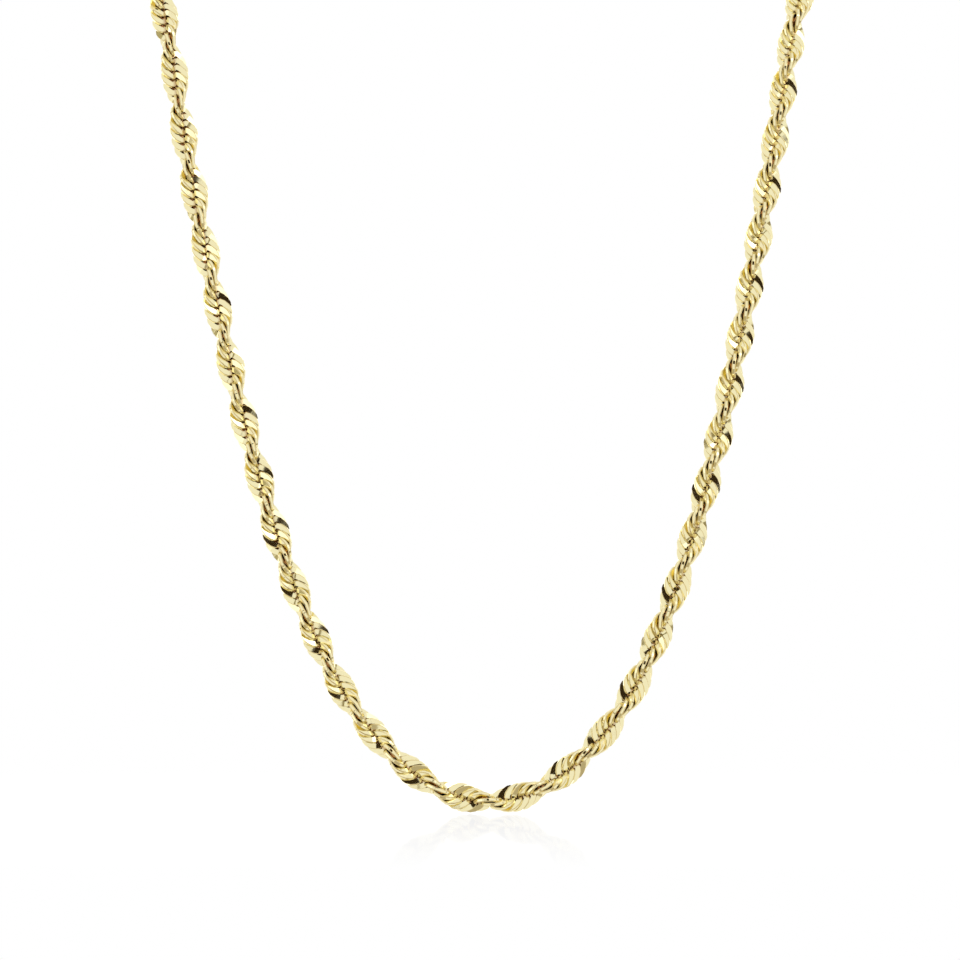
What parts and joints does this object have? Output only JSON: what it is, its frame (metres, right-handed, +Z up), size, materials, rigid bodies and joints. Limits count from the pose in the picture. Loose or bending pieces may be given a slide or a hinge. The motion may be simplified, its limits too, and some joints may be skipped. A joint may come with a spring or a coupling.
{
  "type": "rope chain necklace",
  "caption": "Gold rope chain necklace as it hangs on a neck: a closed loop of twisted interlocking rings with a plain barrel clasp at the nape.",
  "frame": {"origin": "where the clasp's barrel rests on the nape", "axes": "+X to the wearer's left, +Y to the back, +Z up"},
  "size_m": [0.1084, 0.1035, 0.1665],
  "materials": {
    "chain_gold": "polished yellow gold, diamond cut",
    "clasp_gold": "polished yellow gold"
  },
  "bodies": {
    "root": {"rope_chain": "chain_gold", "clasp": "clasp_gold"}
  },
  "joints": []
}
